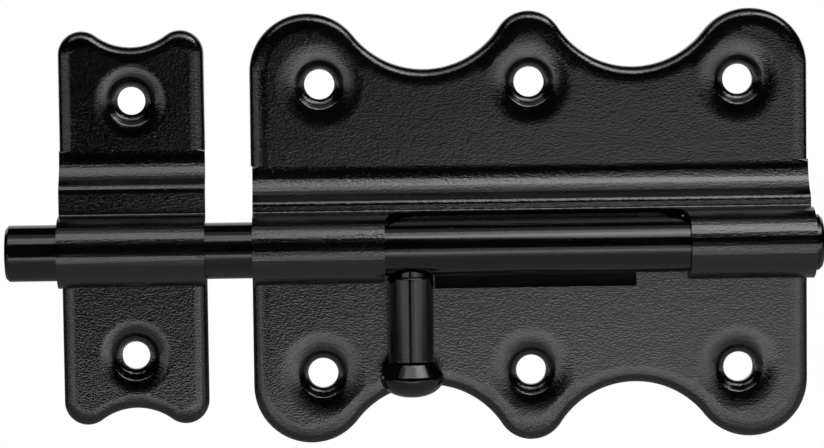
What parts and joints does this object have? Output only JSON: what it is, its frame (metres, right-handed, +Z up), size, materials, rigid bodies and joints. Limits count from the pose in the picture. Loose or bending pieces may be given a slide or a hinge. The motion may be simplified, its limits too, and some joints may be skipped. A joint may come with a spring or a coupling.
{
  "type": "door latch",
  "caption": "Sliding round bolt latch: scalloped folded base plate with rolled barrels, matching strike plate, and a bolt rod moved by a mushroom knob.",
  "frame": {"origin": "middle of the base plate's screw pattern, on the door's face at the plates' backs", "axes": "+X along the bolt from the strike plate to the base plate, +Y into the door, +Z up"},
  "size_m": [0.1448, 0.0151, 0.0774],
  "materials": {
    "plate_paint": "gloss black paint with fine orange peel on folded steel sheet",
    "rod_paint": "smooth gloss black paint on a steel bar"
  },
  "bodies": {
    "plates": {"base_plate": "plate_paint", "strike_plate": "plate_paint"},
    "bolt": {"bolt_rod": "rod_paint", "handle_pin": "rod_paint"}
  },
  "joints": [
    {"name": "bolt_slide", "type": "slide", "parent": "plates", "child": "bolt", "axis": [1, 0, 0], "range_m": [0, 0.045]}
  ]
}
